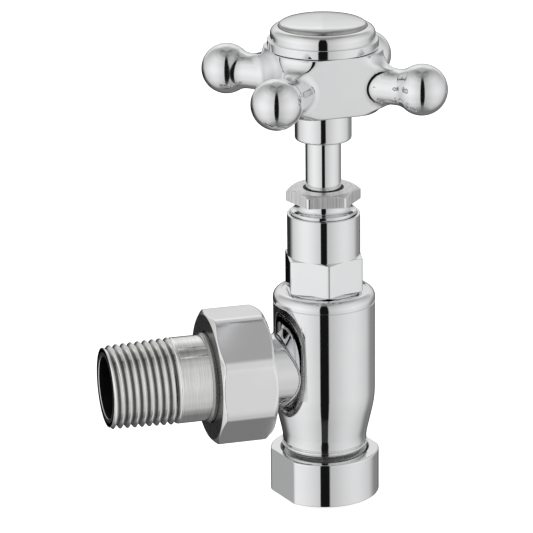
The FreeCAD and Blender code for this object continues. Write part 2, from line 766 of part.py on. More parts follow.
def make_union_nut():
    """Octagon bar with turned corners and a bevel at both ends."""
    bar = prism(union_nut_sides, union_nut_across_flats, union_nut_start, union_nut_end,
                union_nut_corner_angle)
    corner_radius = union_nut_across_flats / 2 / math.cos(math.pi / union_nut_sides)
    turned_radius = corner_radius - union_nut_corner_turning
    end_radius = three_quarter_thread_radius + union_nut_end_wall
    rise = (turned_radius - end_radius) * union_nut_bevel_slope
    lip_bevel = union_nut_lip_bevel
    lip_bevel_start = union_nut_end - lip_bevel * union_nut_lip_bevel_slope
    bevel = turned([(0, union_nut_start), (end_radius, union_nut_start, broken_edge),
                    (turned_radius, union_nut_start + rise), (turned_radius, lip_bevel_start),
                    (turned_radius - lip_bevel, union_nut_end, sharp_edge), (0, union_nut_end)])
    cavity = three_quarter_thread_radius + thread_clearance
    hole = tail_shoulder_radius + union_nut_hole_gap
    hollow = turned([(0, union_nut_start), (cavity + thread_lead_in, union_nut_start),
                     (cavity, union_nut_start + thread_lead_in), (cavity, nut_lip_start),
                     (hole, nut_lip_start), (hole, union_nut_end), (0, union_nut_end)])
    return on_tail_axis(bar.common(bevel).cut(hollow))


pieces = {
    "compression_nut": make_compression_nut,
    "olive": make_olive,
    "valve_body": make_valve_body,
    "bonnet": make_bonnet,
    "bonnet_gasket": make_bonnet_gasket,
    "gland_nut": make_gland_nut,
    "gland_packing": make_gland_packing,
    "gland_washer": make_gland_washer,
    "spindle": make_spindle,
    "jumper": make_jumper,
    "seat_washer": make_seat_washer,
    "jumper_nut": make_jumper_nut,
    "crosshead_handle": make_handle,
    "handle_cap": make_handle_cap,
    "cap_disc": make_cap_disc,
    "handle_screw": make_handle_screw,
    "spring_washer": make_spring_washer,
    "radiator_tail": make_radiator_tail,
    "tail_nose_ring": make_nose_ring,
    "union_nut": make_union_nut,
}

os.makedirs("parts", exist_ok=True)
for name, make in pieces.items():
    shape = make()
    print(name, "solids", len(shape.Solids), "volume", round(shape.Volume, 2), "valid", shape.isValid())
    shape.exportStep("parts/" + name + ".step")
print("union nut travel", round(union_nut_turns * pipe_thread_pitch, 3))
print("compression nut travel", round(compression_nut_turns * pipe_thread_pitch, 3))
print("spindle lift", valve_lift)
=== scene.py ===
import math
import bmesh
import bpy
import numpy as np
from mathutils import Matrix, Vector


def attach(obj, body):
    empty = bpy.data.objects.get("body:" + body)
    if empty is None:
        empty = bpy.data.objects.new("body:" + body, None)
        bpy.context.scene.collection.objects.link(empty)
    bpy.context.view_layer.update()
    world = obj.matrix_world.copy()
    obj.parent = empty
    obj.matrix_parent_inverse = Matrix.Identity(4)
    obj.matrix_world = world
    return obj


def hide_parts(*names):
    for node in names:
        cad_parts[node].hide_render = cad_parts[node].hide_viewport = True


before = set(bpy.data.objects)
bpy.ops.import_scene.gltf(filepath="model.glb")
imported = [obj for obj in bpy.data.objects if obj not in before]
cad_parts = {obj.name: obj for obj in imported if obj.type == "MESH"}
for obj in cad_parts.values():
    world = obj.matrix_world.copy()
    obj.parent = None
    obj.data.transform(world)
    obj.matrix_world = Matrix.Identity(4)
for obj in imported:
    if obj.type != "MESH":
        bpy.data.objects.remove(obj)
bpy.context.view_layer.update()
scene = bpy.context.scene
mm = 0.001
print("frame loaded:", len(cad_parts), "nodes")


# Small helpers for nodes, colours and meshes

def addNode(tree, kind, inputs=None, **settings):
    node = tree.nodes.new(kind)
    for key, value in settings.items():
        setattr(node, key, value)
    for key, value in (inputs or {}).items():
        if isinstance(value, bpy.types.Node):
            value = value.outputs[0]
        if isinstance(value, bpy.types.NodeSocket):
            tree.links.new(value, node.inputs[key])
        else:
            node.inputs[key].default_value = value
    return node


def linearColour(hexText):
    parts = [int(hexText[i:i + 2], 16) / 255 for i in (1, 3, 5)]
    return [p / 12.92 if p <= 0.04045 else ((p + 0.055) / 1.055) ** 2.4 for p in parts] + [1.0]


def roundedProfile(points, closed=True, step=0.5):
    # (radius, height, corner radius) points become a dense line, with short runs next to the corners
    arcStep, shortRun, longRun = math.radians(6), 0.05, 0.3
    corners = [Vector(p[:2]) for p in points]
    count = len(corners)
    stops = []
    for i, corner in enumerate(corners):
        radius = points[i][2] if len(points[i]) > 2 else 0
        if not radius or (not closed and i in (0, count - 1)):
            stops.append([corner])
            continue
        back = (corners[i - 1] - corner).normalized()
        ahead = (corners[(i + 1) % count] - corner).normalized()
        half = back.angle(ahead) / 2
        reach = radius / math.tan(half)
        centre = corner + (back + ahead).normalized() * (radius / math.sin(half))
        first = corner + back * reach - centre
        last = corner + ahead * reach - centre
        turn = math.atan2(first.x * last.y - first.y * last.x, first.dot(last))
        pieces = max(4, math.ceil(abs(turn) / arcStep))
        arc = []
        for k in range(pieces + 1):
            a = turn * k / pieces
            arc.append(centre + Vector((first.x * math.cos(a) - first.y * math.sin(a),
                                        first.x * math.sin(a) + first.y * math.cos(a))))
        stops.append(arc)
    line = []
    for i, stop in enumerate(stops):
        line += stop
        if i == count - 1 and not closed:
            break
        here, there = stop[-1], stops[(i + 1) % count][0]
        length = (there - here).length
        if length < 1e-6:  # two arcs that meet share their point
            line.pop()
            continue
        if length > longRun:
            parts = math.ceil(length / step)
            shares = [shortRun / length] + [k / parts for k in range(1, parts)] + [1 - shortRun / length]
            line += [here.lerp(there, s) for s in shares]
    return np.array([[p.x, p.y] for p in line])


def ringMesh(name, points):
    # points has the shape (along the profile, around, 3), in millimetres, and closes both ways
    along, around = points.shape[:2]
    i, j = np.meshgrid(np.arange(along), np.arange(around), indexing="ij")
    i2, j2 = (i + 1) % along, (j + 1) % around
    faces = np.stack([i * around + j, i * around + j2, i2 * around + j2, i2 * around + j], axis=-1)
    mesh = bpy.data.meshes.new(name)
    mesh.from_pydata((points.reshape(-1, 3) * mm).tolist(), [], faces.reshape(-1, 4).tolist())
    work = bmesh.new()
    work.from_mesh(mesh)
    bmesh.ops.remove_doubles(work, verts=work.verts, dist=1e-8)
    bmesh.ops.dissolve_degenerate(work, edges=work.edges, dist=1e-9)
    bmesh.ops.recalc_face_normals(work, faces=work.faces)
    work.to_mesh(mesh)
    work.free()
    mesh.polygons.foreach_set("use_smooth", [True] * len(mesh.polygons))
    return mesh


# The tail's axis lies along -X: a form made upright is laid down with its top towards the radiator
branchHeight = 32.7
tailMatrix = Matrix(((0, 0, -1, 0), (0, 1, 0, 0), (1, 0, 0, branchHeight * mm), (0, 0, 0, 1)))
turnedColumns = 256


def turnedMesh(name, profile):
    angle = np.arange(turnedColumns) / turnedColumns * 2 * math.pi
    radius, height = profile[:, 0][:, None], profile[:, 1][:, None]
    points = np.stack([radius * np.cos(angle), radius * np.sin(angle), height + 0 * angle], axis=-1)
    return ringMesh(name, points)


def nutMesh(name, profile, flats, cornerAngle, softness, perFlat=60, crowding=1.7):
    # A turned blank with flats milled on it: its radius is held down, softly, to the two nearest flats
    count, apothem = flats
    half = math.pi / count
    even = np.linspace(-1, 1, perFlat, endpoint=False)
    gathered = np.sign(even) * (1 - (1 - np.abs(even)) ** crowding)  # more columns near the corners
    angle = np.concatenate([half * (2 * k + 1 + gathered) for k in range(count)])
    off = np.abs(np.concatenate([half * gathered] * count))
    radius, leastCosine = profile[:, 0][:, None], 1e-3
    held = -radius / softness + 0 * off
    for turn in (off, 2 * half - off):
        held = np.logaddexp(held, -apothem / np.maximum(np.cos(turn), leastCosine) / softness)
    untouched = radius < apothem - 12 * softness  # so far in, the flats change nothing
    held = np.where(untouched, radius, -softness * held)
    turned = angle + math.radians(cornerAngle)
    height = profile[:, 1][:, None] + 0 * held
    return ringMesh(name, np.stack([held * np.cos(turned), held * np.sin(turned), height], axis=-1))


def addPiece(name, mesh, body, material, replaced=()):
    piece = bpy.data.objects.new(name, mesh)
    scene.collection.objects.link(piece)
    mesh.materials.clear()
    mesh.materials.append(material)
    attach(piece, body)
    if replaced:
        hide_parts(*replaced)
    return piece


# Materials

def objectMillimetres(tree):
    place = addNode(tree, "ShaderNodeTexCoord")
    return addNode(tree, "ShaderNodeMapping", {"Vector": place.outputs["Object"], "Scale": [1 / mm] * 3})


def newMaterial(name):
    material = bpy.data.materials.new(name)
    material.use_nodes = True
    material.node_tree.nodes.clear()
    return material, material.node_tree


def platedMetal(name, look):
    # A cloud varies colour and roughness, a ripple bends what is mirrored, and marks are the tool's lines
    cloudRange, markRange = (0.3, 0.7), (0.36, 0.64)  # where most values of the two noises lie
    material, tree = newMaterial(name)
    place = objectMillimetres(tree)
    cloud = addNode(tree, "ShaderNodeTexNoise", {
        "Vector": place, "Scale": 1 / look["cloudSize"], "Detail": 2.0})
    tone = addNode(tree, "ShaderNodeMix", {
        0: cloud, 6: linearColour(look["colour"]), 7: linearColour(look["shade"])}, data_type="RGBA")
    rough = addNode(tree, "ShaderNodeMapRange", {
        "Value": cloud, "From Min": cloudRange[0], "From Max": cloudRange[1],
        "To Min": look["roughness"][0], "To Max": look["roughness"][1]})
    ripple = addNode(tree, "ShaderNodeTexNoise", {
        "Vector": place, "Scale": 1 / look["rippleSize"], "Detail": 1.0})
    marks = addNode(tree, "ShaderNodeMapping", {"Vector": place, "Scale": look["markScale"]})
    mark = addNode(tree, "ShaderNodeTexNoise", {
        "Vector": marks, "Scale": 1.0, "Detail": 3.0, "Roughness": 0.6})
    streak = addNode(tree, "ShaderNodeMapRange", {
        "Value": mark, "From Min": markRange[0], "From Max": markRange[1]})
    white = linearColour("#FFFFFF")
    markTone = linearColour(look["markColour"]) if "markColour" in look else white
    toned = addNode(tree, "ShaderNodeMix", {0: streak, 6: markTone, 7: white}, data_type="RGBA")
    worn = addNode(tree, "ShaderNodeMix", {0: 1.0, 6: tone.outputs[2], 7: toned.outputs[2]},
                   data_type="RGBA", blend_type="MULTIPLY")
    if "valleyShade" in look:
        # Between the crests of the tail's thread the colour darkens with depth: painted shade in the
        # thread's roots
        valleyShade = look["valleyShade"]
        spot = addNode(tree, "ShaderNodeSeparateXYZ", {0: place}).outputs
        made = {"x": spot["X"], "y": spot["Y"], "z": spot["Z"]}
        for name, operation, *values in [
                ("up", "SUBTRACT", "z", branchHeight), ("upSquare", "MULTIPLY", "up", "up"),
                ("square", "MULTIPLY_ADD", "y", "y", "upSquare"), ("radius", "SQRT", "square"),
                ("along", "ADD", "x", valleyShade["end"]),
                ("crest", "MULTIPLY_ADD", "along", valleyShade["taper"], valleyShade["crest"]),
                ("depth", "SUBTRACT", "crest", "radius")]:
            sockets = {i: made[v] if isinstance(v, str) else v for i, v in enumerate(values)}
            made[name] = addNode(tree, "ShaderNodeMath", sockets, operation=operation)
        deep = addNode(tree, "ShaderNodeMapRange", {
            "Value": made["depth"], "From Min": valleyShade["darkFrom"], "From Max": valleyShade["darkTo"]})
        worn = addNode(tree, "ShaderNodeMix", {
            0: deep, 6: worn.outputs[2], 7: linearColour(valleyShade["colour"])}, data_type="RGBA")
    wave = addNode(tree, "ShaderNodeBump", {
        "Height": ripple, "Strength": 1.0, "Distance": look["rippleHeight"] * mm})
    cut = addNode(tree, "ShaderNodeBump", {
        "Height": mark, "Strength": 1.0, "Distance": look["markHeight"] * mm, "Normal": wave})
    metal = addNode(tree, "ShaderNodeBsdfPrincipled", {
        "Base Color": worn.outputs[2], "Metallic": look.get("metallic", 1.0), "Roughness": rough,
        "Normal": cut})
    addNode(tree, "ShaderNodeOutputMaterial", {"Surface": metal})
    return material


def softMaterial(name, look):
    material, tree = newMaterial(name)
    place = objectMillimetres(tree)
    grain = addNode(tree, "ShaderNodeTexNoise", {
        "Vector": place, "Scale": 1 / look["grainSize"], "Detail": 4.0})
    tone = addNode(tree, "ShaderNodeMix", {
        0: grain, 6: linearColour(look["colour"]), 7: linearColour(look["shade"])}, data_type="RGBA")
    bump = addNode(tree, "ShaderNodeBump", {
        "Height": grain, "Strength": 1.0, "Distance": look["grainHeight"] * mm})
    surface = addNode(tree, "ShaderNodeBsdfPrincipled", {
        "Base Color": tone.outputs[2], "Metallic": 0.0, "Roughness": look["roughness"], "Normal": bump})
    addNode(tree, "ShaderNodeOutputMaterial", {"Surface": surface})
    return material


# Bright chromium over brass that was cast or turned and then buffed: a mirror with faint waves
polishedChrome = platedMetal("bright_chromium_plate_buffed", {
    "colour": "#EFEFF0", "shade": "#E9EAEB", "cloudSize": 7.0, "roughness": (0.035, 0.06),
    "rippleSize": 3.2, "rippleHeight": 0.0012, "markScale": (9, 9, 9), "markHeight": 0.00002})
# The same plate on forms that were buffed by hand, so flats bulge a little and mirrored edges run softly
handBuffed = platedMetal("bright_chromium_plate_hand_buffed", {
    "colour": "#EFEFF0", "shade": "#E9EAEB", "cloudSize": 7.0, "roughness": (0.05, 0.09),
    "rippleSize": 7.0, "rippleHeight": 0.02, "markScale": (9, 9, 9), "markHeight": 0.00002})
# Chromium over bar that was only brushed: a soft grey with fine upright lines on the flats
brushedChrome = platedMetal("chromium_plate_on_brushed_bar", {
    "colour": "#FBFBFB", "shade": "#F4F4F4", "cloudSize": 2.0, "roughness": (0.38, 0.46),
    "rippleSize": 2.5, "rippleHeight": 0.001, "markScale": (2.2, 2.2, 0.05), "markHeight": 0.009,
    "markColour": "#DCDCDC"})
# Nickel over a turned surface: fine rings left by the tool, so highlights spread along the tail
turnedNickel = platedMetal("nickel_plate_on_fine_turning", {
    "colour": "#F9F9F8", "shade": "#F1F1F0", "cloudSize": 3.0, "roughness": (0.06, 0.12),
    "rippleSize": 4.0, "rippleHeight": 0.001, "markScale": (4, 0.1, 0.1), "markHeight": 0.006,
    "markColour": "#ECECEC"})
# Chromium over flats that a belt ground: a mirror with a slight haze, so what it mirrors loses its edges
satinChrome = platedMetal("chromium_plate_on_ground_flats", {
    "colour": "#F8F8F9", "shade": "#F0F0F1", "cloudSize": 9.0, "roughness": (0.13, 0.19),
    "rippleSize": 9.0, "rippleHeight": 0.012, "markScale": (0.4, 3, 3), "markHeight": 0.0008})
# Plate that never saw the buff, so rougher, with a greyer colour that is painted shade: threads, gaps
# between the nuts and the body, the disc's edge in its rim
shadedPlate = platedMetal("unbuffed_plate_with_painted_shade_in_the_gaps", {
    "colour": "#B8B8B7", "shade": "#A0A09F", "cloudSize": 2.0, "roughness": (0.2, 0.32), "metallic": 0.85,
    "rippleSize": 2.0, "rippleHeight": 0.002, "markScale": (1, 1, 8), "markHeight": 0.002})
# End faces and inside of the union nut as the lathe left them, and much greyer still: painted shade where
# the nut meets the body and the tail, and inside it
lathedShadedFace = platedMetal("lathed_end_faces_of_the_union_nut_painted_shade", {
    "colour": "#8C8C8B", "shade": "#7C7C7B", "cloudSize": 3.0, "roughness": (0.24, 0.3), "metallic": 0.95,
    "rippleSize": 2.0, "rippleHeight": 0.0005, "markScale": (1, 1, 1), "markHeight": 0.0003})
# Plate in the saddle between branch and barrel, where no buff reaches the corner, so it stays hazy
saddleChrome = platedMetal("chromium_plate_hazy_in_the_saddle", {
    "colour": "#EFEFF0", "shade": "#E4E4E5", "cloudSize": 3.0, "roughness": (0.2, 0.3),
    "rippleSize": 3.0, "rippleHeight": 0.002, "markScale": (3, 3, 3), "markHeight": 0.0005})
# Bare machined brass inside the valve
machinedBrass = platedMetal("bare_machined_brass", {
    "colour": "#D9B768", "shade": "#C29C4E", "cloudSize": 2.5, "roughness": (0.2, 0.32),
    "rippleSize": 2.0, "rippleHeight": 0.002, "markScale": (0.2, 0.2, 8), "markHeight": 0.003})
# Zinc-plated steel of the handle's screw and washer
zincSteel = platedMetal("zinc_plated_steel", {
    "colour": "#C6C8CA", "shade": "#AFB2B5", "cloudSize": 1.5, "roughness": (0.25, 0.38),
    "rippleSize": 1.5, "rippleHeight": 0.002, "markScale": (6, 6, 6), "markHeight": 0.003})
# Inside of the tail and mouth of the gland nut: plate barely reaches there, so they are rough, and their
# dark colour is painted shade in the bore and the mouth
shadedBore = platedMetal("rough_plate_painted_shade_in_bores", {
    "colour": "#4A4A49", "shade": "#2E2E2D", "cloudSize": 3.0, "roughness": (0.35, 0.5),
    "rippleSize": 3.0, "rippleHeight": 0.004, "markScale": (7, 0.2, 0.2), "markHeight": 0.004})
seatRubber = softMaterial("moulded_nitrile_rubber", {
    "colour": "#1E1E1F", "shade": "#141415", "grainSize": 0.4, "grainHeight": 0.01, "roughness": 0.6})
whitePacking = softMaterial("pressed_fluoroplastic", {
    "colour": "#E6E6E0", "shade": "#D9D9D2", "grainSize": 0.8, "grainHeight": 0.005, "roughness": 0.45})
redFibre = softMaterial("punched_fibre_sheet", {
    "colour": "#8A3A2C", "shade": "#6F2B20", "grainSize": 0.3, "grainHeight": 0.02, "roughness": 0.8})
# CAD nodes that are shown as they are
nodeMaterials = {
    "handle_cap": polishedChrome, "spindle": polishedChrome, "bonnet_gasket": redFibre,
    "gland_packing": whitePacking, "gland_washer": machinedBrass, "jumper": machinedBrass,
    "jumper_nut": machinedBrass, "olive": machinedBrass, "seat_washer": seatRubber,
    "tail_nose_ring": seatRubber, "handle_screw": zincSteel, "spring_washer": zincSteel,
}
for name, material in nodeMaterials.items():
    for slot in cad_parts[name].material_slots:
        slot.material = material
print("materials made")


# Threads, made by geometry nodes: a sleeve whose radius follows the helix, with its ends run out.
# Crests are a little flat, and crests and roots are rounded

threadForm = {"steepness": 2.25, "crestFlat": 0.06, "crestRounding": 0.1, "rootRounding": 0.04}


def threadTree(form):
    tree = bpy.data.node_groups.new("pipe_thread", "GeometryNodeTree")
    face = tree.interface
    face.new_socket("Geometry", in_out="OUTPUT", socket_type="NodeSocketGeometry")
    names = ["Length", "Pitch", "Crest Radius", "Depth", "Taper", "First Radius", "Last Radius",
             "First Run", "Last Run", "Inner Radius"]
    for name in names:
        face.new_socket(name, in_out="INPUT", socket_type="NodeSocketFloat")
    face.new_socket("Around", in_out="INPUT", socket_type="NodeSocketInt")
    face.new_socket("Rows", in_out="INPUT", socket_type="NodeSocketInt")
    face.new_socket("Metal", in_out="INPUT", socket_type="NodeSocketMaterial")
    given = addNode(tree, "NodeGroupInput").outputs

    made = {"two pi": 2 * math.pi}
    for name in names + ["Around", "Rows"]:
        made[name] = given[name]
    grid = addNode(tree, "GeometryNodeMeshGrid", {"Size X": 1.0, "Size Y": 1.0})
    spot = addNode(tree, "ShaderNodeSeparateXYZ", {0: addNode(tree, "GeometryNodeInputPosition")}).outputs
    made["x"], made["y"] = spot["X"], spot["Y"]
    # The grid has three rows more than the thread: one inside at either end, and one back at the start
    for name, operation, *values in [
            ("columns", "ADD", "Around", 1), ("rows", "ADD", "Rows", 3), ("lastRow", "SUBTRACT", "rows", 1),
            ("backRow", "SUBTRACT", "rows", 2), ("steps", "SUBTRACT", "Rows", 1),
            ("turn", "ADD", "x", 0.5), ("up", "ADD", "y", 0.5), ("scaled", "MULTIPLY", "up", "lastRow"),
            ("row", "ROUND", "scaled"), ("step", "SUBTRACT", "row", 1),
            ("isFirst", "COMPARE", "row", 0, 0.5), ("isLast", "COMPARE", "row", "lastRow", 0.5),
            ("isBack", "COMPARE", "row", "backRow", 0.5), ("notLow", "MAXIMUM", "step", 0),
            ("notHigh", "MINIMUM", "notLow", "steps"), ("share", "DIVIDE", "notHigh", "steps"),
            ("far", "MULTIPLY", "share", "Length"), ("open", "SUBTRACT", 1, "isLast"),
            ("along", "MULTIPLY", "far", "open"), ("turns", "DIVIDE", "along", "Pitch"),
            ("phase", "SUBTRACT", "turns", "turn"), ("flank", "PINGPONG", "phase", 0.5),
            ("steep", "MULTIPLY_ADD", "flank", form["steepness"], -form["crestFlat"]),
            ("floored", "SMOOTH_MAX", "steep", 0.0, form["crestRounding"]),
            ("wave", "SMOOTH_MIN", "floored", 1.0, form["rootRounding"]),
            ("fall", "MULTIPLY", "wave", "Depth"),
            ("crest", "MULTIPLY_ADD", "along", "Taper", "Crest Radius"),
            ("threaded", "SUBTRACT", "crest", "fall"), ("left", "SUBTRACT", "Length", "along"),
            ("ends", "ADD", "isFirst", "isLast"), ("inside", "ADD", "ends", "isBack"),
            ("around", "MULTIPLY", "turn", "two pi"), ("across", "COSINE", "around"),
            ("upward", "SINE", "around")]:
        sockets = {i: made[v] if isinstance(v, str) else v for i, v in enumerate(values)}
        made[name] = addNode(tree, "ShaderNodeMath", sockets, operation=operation)
    for k, name in enumerate(("columns", "rows")):
        tree.links.new(made[name].outputs[0], grid.inputs[2 + k])
    first = addNode(tree, "ShaderNodeMapRange", {"Value": made["along"], "From Max": given["First Run"]})
    last = addNode(tree, "ShaderNodeMapRange", {"Value": made["left"], "From Max": given["Last Run"]},
                   interpolation_type="SMOOTHSTEP")
    starts = addNode(tree, "ShaderNodeMix", {0: first, 2: given["First Radius"], 3: made["threaded"]})
    both = addNode(tree, "ShaderNodeMix", {0: last, 2: given["Last Radius"], 3: starts})
    radius = addNode(tree, "ShaderNodeMix", {0: made["inside"], 2: both, 3: given["Inner Radius"]})
    turned = addNode(tree, "ShaderNodeCombineXYZ", {"X": made["across"], "Y": made["upward"], "Z": 0.0})
    flat = addNode(tree, "ShaderNodeVectorMath", {0: turned, "Scale": radius}, operation="SCALE")
    lift = addNode(tree, "ShaderNodeCombineXYZ", {"X": 0.0, "Y": 0.0, "Z": made["along"]})
    place = addNode(tree, "ShaderNodeVectorMath", {0: flat, 1: lift}, operation="ADD")
    moved = addNode(tree, "GeometryNodeSetPosition", {"Geometry": grid.outputs["Mesh"], "Position": place})
    joined = addNode(tree, "GeometryNodeMergeByDistance", {"Geometry": moved, "Distance": 1e-7})
    smooth = addNode(tree, "GeometryNodeSetShadeSmooth", {"Geometry": joined})
    real = addNode(tree, "GeometryNodeRealizeInstances", {"Geometry": smooth})
    painted = addNode(tree, "GeometryNodeSetMaterial", {"Geometry": real, "Material": given["Metal"]})
    addNode(tree, "NodeGroupOutput", {"Geometry": painted})
    return tree


threads = threadTree(threadForm)


def threadMesh(name, sizes, material, place):
    holder = bpy.data.objects.new(name, bpy.data.meshes.new(name))
    scene.collection.objects.link(holder)
    modifier = holder.modifiers.new("thread", "NODES")
    modifier.node_group = threads
    bare = ("Taper", "Around", "Rows")  # the rest are lengths in millimetres
    values = {key: value if key in bare else value * mm for key, value in sizes.items()}
    values["Metal"] = material
    for item in threads.interface.items_tree:
        if item.in_out == "INPUT":
            modifier[item.identifier] = values[item.name]
    bpy.context.view_layer.update()
    graph = bpy.context.evaluated_depsgraph_get()
    mesh = bpy.data.meshes.new_from_object(holder.evaluated_get(graph))
    bpy.data.objects.remove(holder)
    mesh.transform(place)
    work = bmesh.new()
    work.from_mesh(mesh)
    bmesh.ops.recalc_face_normals(work, faces=work.faces)
    work.to_mesh(mesh)
    work.free()
    mesh.name = name
    return mesh


# Cap disc: nearly flat in the middle and turned down at its edge

capDisc = {"radius": 10.7, "bottom": 117.73, "edge": 118.58, "rise": 2.15, "fullness": 3.0, "rings": 60,
           "shadedEdgeSlope": 0.8}


def makeCapDisc(d):
    share = np.sin(np.linspace(math.pi / 2, 0, d["rings"]))
    height = d["edge"] + d["rise"] * (1 - share ** d["fullness"]) ** (1 / d["fullness"])
    dome = np.stack([d["radius"] * share, height], axis=-1)
    foot = roundedProfile([(0, d["bottom"]), (d["radius"], d["bottom"])], closed=False)
    mesh = turnedMesh("cap_disc_face", np.concatenate([foot, dome]))
    addPiece("cap_disc_face", mesh, "handle", polishedChrome, ["cap_disc"])
    # The turned-down edge sits in the cap's rim, where the buff doesn't reach it, and gets the greyer plate
    # as painted shade in the groove
    mesh.materials.append(shadedPlate)
    for face in mesh.polygons:
        if face.normal.z < d["shadedEdgeSlope"]:
            face.material_index = 1


makeCapDisc(capDisc)
print("cap disc made")

# Radiator tail

tail = {"end": 55.5, "threadLength": 17.2, "bore": 7.65, "boreCone": 2, "noseBore": 6.6, "noseEnd": 21.2,
        "nose": 9.7, "groove": 8.34, "grooveStart": 22.44, "grooveEnd": 24.2, "collarStart": 25.1,
        "collarEnd": 26.9, "collar": 12.6, "shoulder": 10.9975, "shoulderEnd": 30.65, "shoulderBevel": 0.5,
        "plain": 10.5975, "threadEnd": 9.75, "rim": 9.6, "rimDepth": 0.3, "core": 8.9, "threadInside": 8.7,
        "crestAtEnd": 10.2, "taper": 1 / 32, "pitch": 1.814, "depth": 1.1, "firstRun": 0.7, "lastRun": 1.4,
        "threadRows": 260}
# The tail's nickel on the thread, with painted shade darkening the roots between the bright crests
threadNickel = platedMetal("nickel_plate_on_cut_thread", {
    "colour": "#F9F9F8", "shade": "#F1F1F0", "cloudSize": 3.0, "roughness": (0.06, 0.12),
    "rippleSize": 4.0, "rippleHeight": 0.001, "markScale": (1, 0.1, 0.1), "markHeight": 0.002,
    "valleyShade": {"crest": tail["crestAtEnd"], "taper": tail["taper"], "end": tail["end"], "darkFrom": 0.5,
               "darkTo": 0.98, "colour": "#8C8C8B"}})


def makeTail(t):
    threadStart, rimStart = t["end"] - t["threadLength"], t["end"] - t["rimDepth"]
    plainStart = t["shoulderEnd"] + t["shoulderBevel"]
    blank = roundedProfile([
        (t["noseBore"], t["noseEnd"], .2), (t["nose"], t["noseEnd"], .3), (t["nose"], t["grooveStart"], .1),
        (t["groove"], t["grooveStart"]), (t["groove"], t["grooveEnd"]), (t["nose"], t["grooveEnd"], .1),
        (t["nose"], t["collarStart"]), (t["collar"], t["collarStart"], .3),
        (t["collar"], t["collarEnd"], .3), (t["shoulder"], t["collarEnd"]),
        (t["shoulder"], t["shoulderEnd"], .2), (t["plain"], plainStart, .3), (t["plain"], threadStart),
        (t["core"], threadStart), (t["core"], rimStart), (t["rim"], rimStart), (t["rim"], t["end"], .1),
        (t["bore"], t["end"], .25), (t["bore"], t["collarEnd"] + t["boreCone"]),
        (t["noseBore"], t["collarEnd"])])
    mesh = turnedMesh("tail_blank", blank)
    mesh.transform(tailMatrix)
    addPiece("tail_blank", mesh, "tail", turnedNickel, ["radiator_tail"])
    # The bore and the parts inside the union nut get darker plate: painted shade
    for material in (shadedBore, shadedPlate):
        mesh.materials.append(material)
    slack = 0.05
    for face in mesh.polygons:
        x, y, z = face.center / mm
        if math.hypot(y, z - branchHeight) < t["bore"] + slack:
            face.material_index = 1
        elif x > -plainStart:  # shoulder, collar and nose, down inside the union nut, greyed as painted shade
            face.material_index = 2
    sizes = {"Length": t["threadLength"], "Pitch": t["pitch"], "Crest Radius": t["crestAtEnd"],
             "Depth": t["depth"], "Taper": t["taper"], "First Radius": t["threadEnd"],
             "Last Radius": t["plain"], "First Run": t["firstRun"], "Last Run": t["lastRun"],
             "Inner Radius": t["threadInside"], "Around": turnedColumns, "Rows": t["threadRows"]}
    # The thread starts at the tail's open end and runs back towards the valve
    place = tailMatrix @ Matrix.Rotation(math.pi, 4, "X") @ Matrix.Translation((0, 0, -t["end"] * mm))
    mesh = threadMesh("tail_thread", sizes, threadNickel, place)
    addPiece("tail_thread", mesh, "tail", threadNickel)


makeTail(tail)
print("tail made")

# Union nut

unionNut = {"flats": (8, 15.8), "cornerAngle": 26.2, "start": 16.1, "end": 29.95, "cavity": 13.2705,
            "hole": 11.2975, "lipStart": 27.0, "turned": 16.75, "valveEnd": 15.6, "valveBevel": 1.15,
            "lipEnd": 15.4, "lipBevel": 0.75, "threadBevel": 0.5, "shadeRim": 0.3, "softness": 0.07}


def makeUnionNut(u):
    profile = roundedProfile([
        (u["cavity"] + u["threadBevel"], u["start"], .1), (u["valveEnd"], u["start"], .3),
        (u["turned"], u["start"] + u["valveBevel"], .25), (u["turned"], u["end"] - u["lipBevel"], .4),
        (u["lipEnd"], u["end"], .45), (u["hole"], u["end"], .15), (u["hole"], u["lipStart"]),
        (u["cavity"], u["lipStart"]), (u["cavity"], u["start"] + u["threadBevel"])], step=0.35)
    mesh = nutMesh("union_nut_shell", profile, u["flats"], u["cornerAngle"], u["softness"])
    # The end faces were left as the lathe cut them, and no buff reaches the thread; these faces and the
    # inside are painted greyer as shade
    endFacing, inside = 0.98, (u["cavity"] + u["shadeRim"]) * mm
    shadedFaces = [face.index for face in mesh.polygons if abs(face.normal.z) > endFacing
            or math.hypot(face.center.x, face.center.y) < inside]
    mesh.transform(tailMatrix)
    addPiece("union_nut_shell", mesh, "union", satinChrome, ["union_nut"])
    mesh.materials.append(lathedShadedFace)
    for index in shadedFaces:
        mesh.polygons[index].material_index = 1


makeUnionNut(unionNut)
print("union nut made")

# Compression nut

compressionNut = {"radius": 13.5, "height": 11.2, "flats": (2, 12.1975), "cornerAngle": -75.6,
                  "socket": 7.6, "bore": 10.5275, "threadBevel": 0.5, "shadeRim": 0.6, "floor": 2.6,
                  "edge": 0.55, "softness": 0.05, "perFlat": 256}


def makeCompressionNut(c):
    coneTop = c["floor"] + c["bore"] - c["socket"]  # a 45 degree cone presses on the olive
    profile = roundedProfile([
        (c["socket"], 0, .15), (c["radius"], 0, .28), (c["radius"], c["height"], c["edge"]),
        (c["bore"] + c["threadBevel"], c["height"], .12), (c["bore"], c["height"] - c["threadBevel"]),
        (c["bore"], coneTop), (c["socket"], c["floor"])], step=0.35)
    mesh = nutMesh("compression_nut_shell", profile, c["flats"], c["cornerAngle"], c["softness"],
                   c["perFlat"], crowding=1)
    addPiece("compression_nut_shell", mesh, "pipe_nut", polishedChrome,
             ["compression_nut"])
    mesh.materials.append(shadedPlate)
    # Inside the threaded mouth the plate is greyer: painted shade
    inside = (c["bore"] + c["shadeRim"]) * mm
    for face in mesh.polygons:
        if math.hypot(face.center.x, face.center.y) < inside:
            face.material_index = 1


makeCompressionNut(compressionNut)
print("compression nut made")

# Bonnet

